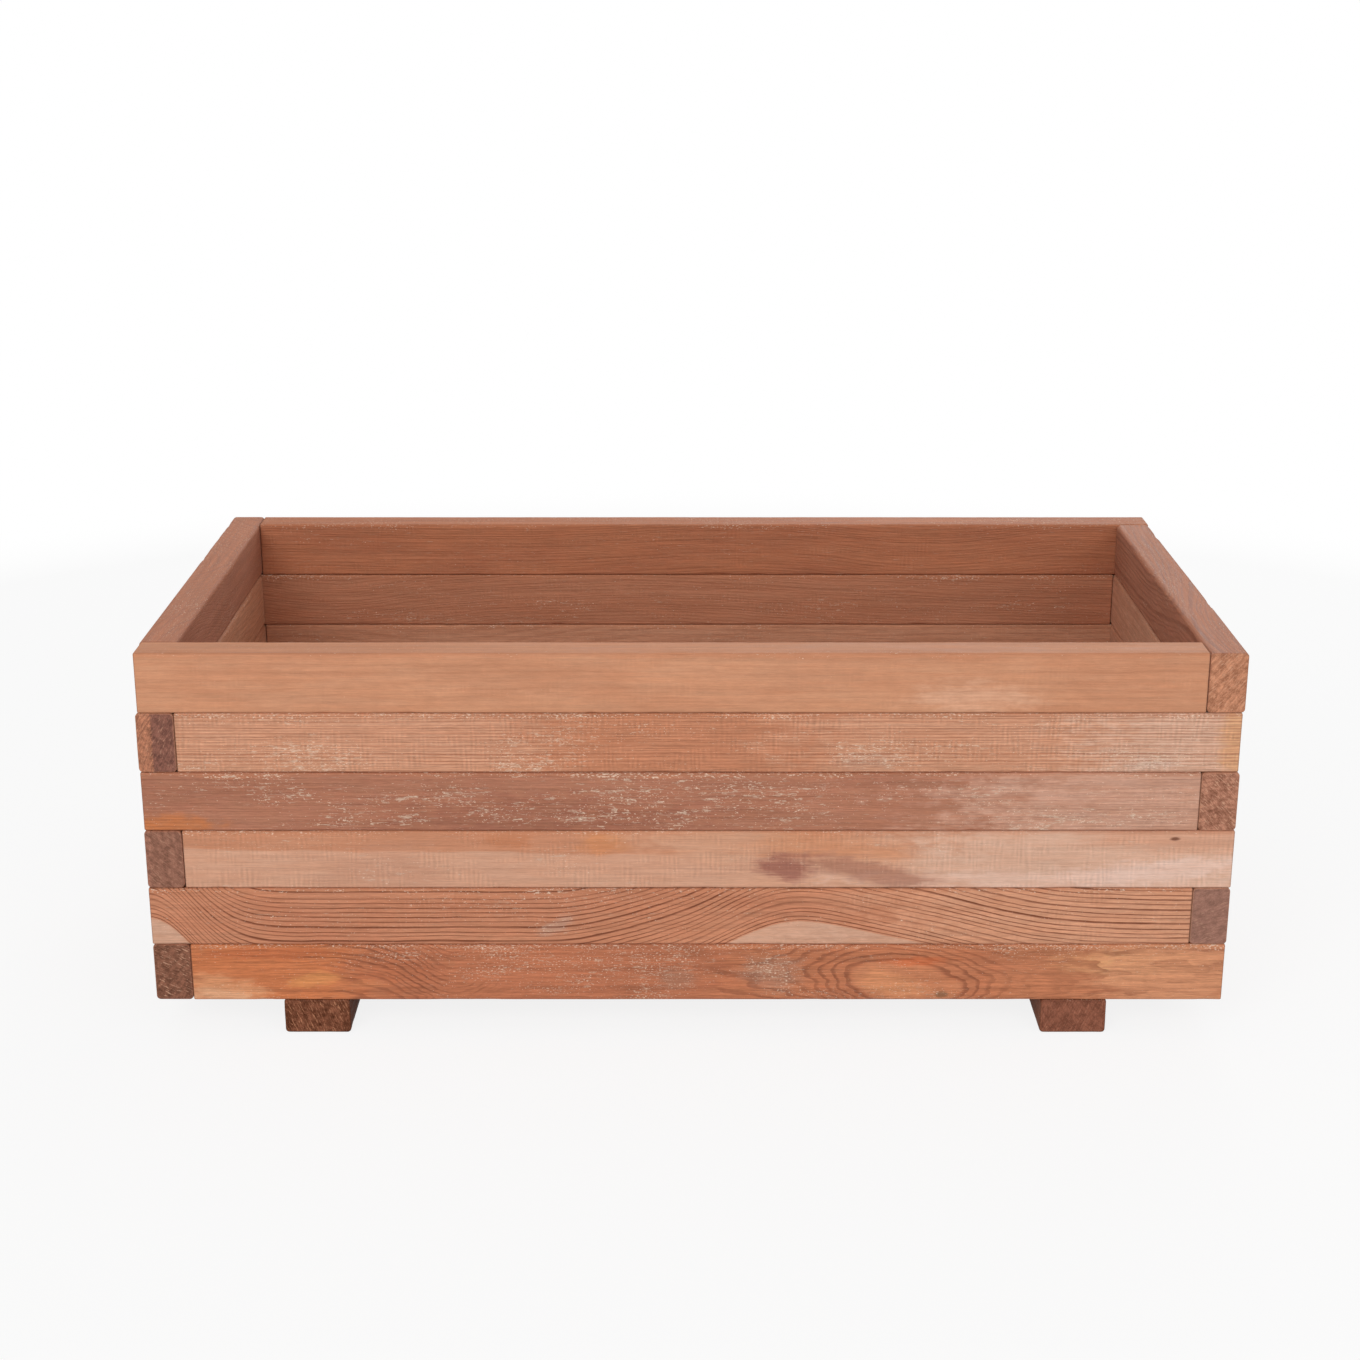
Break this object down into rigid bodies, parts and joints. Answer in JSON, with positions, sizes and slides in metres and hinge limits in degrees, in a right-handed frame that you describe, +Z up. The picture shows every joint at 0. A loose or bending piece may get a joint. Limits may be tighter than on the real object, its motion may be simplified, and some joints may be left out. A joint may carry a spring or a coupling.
{
  "type": "planter box",
  "caption": "Rectangular wooden planter box of stacked planed battens, lapped log-cabin fashion at the corners, open at the top, with slatted floor boards on low cross feet.",
  "frame": {"origin": "on the ground, below the middle of the box", "axes": "+X along the length towards the right end, +Y towards the back, +Z up; the front faces -Y"},
  "size_m": [0.8, 0.4, 0.301],
  "materials": {
    "batten_wood": "planed, oiled reddish-tan timber with eased arrises and darker rough-sawn end grain",
    "foot_wood": "dark rough-sawn timber",
    "floor_wood": "planed timber",
    "screw_steel": "plain steel countersunk wood screws with a star drive"
  },
  "bodies": {
    "root": {"course_1_front_batten": "batten_wood", "course_1_right_batten": "batten_wood", "course_1_back_batten": "batten_wood", "course_1_left_batten": "batten_wood", "course_2_front_batten": "batten_wood", "course_2_right_batten": "batten_wood", "course_2_back_batten": "batten_wood", "course_2_left_batten": "batten_wood", "course_2_screws": "screw_steel", "course_3_front_batten": "batten_wood", "course_3_right_batten": "batten_wood", "course_3_back_batten": "batten_wood", "course_3_left_batten": "batten_wood", "course_3_screws": "screw_steel", "course_4_front_batten": "batten_wood", "course_4_right_batten": "batten_wood", "course_4_back_batten": "batten_wood", "course_4_left_batten": "batten_wood", "course_4_screws": "screw_steel", "course_5_front_batten": "batten_wood", "course_5_right_batten": "batten_wood", "course_5_back_batten": "batten_wood", "course_5_left_batten": "batten_wood", "course_5_screws": "screw_steel", "course_6_front_batten": "batten_wood", "course_6_right_batten": "batten_wood", "course_6_back_batten": "batten_wood", "course_6_left_batten": "batten_wood", "course_6_screws": "screw_steel", "left_foot": "foot_wood", "right_foot": "foot_wood", "floor_board_1": "floor_wood", "floor_board_2": "floor_wood", "floor_board_3": "floor_wood", "floor_board_4": "floor_wood", "foot_screws": "screw_steel", "floor_screws": "screw_steel"}
  },
  "joints": []
}
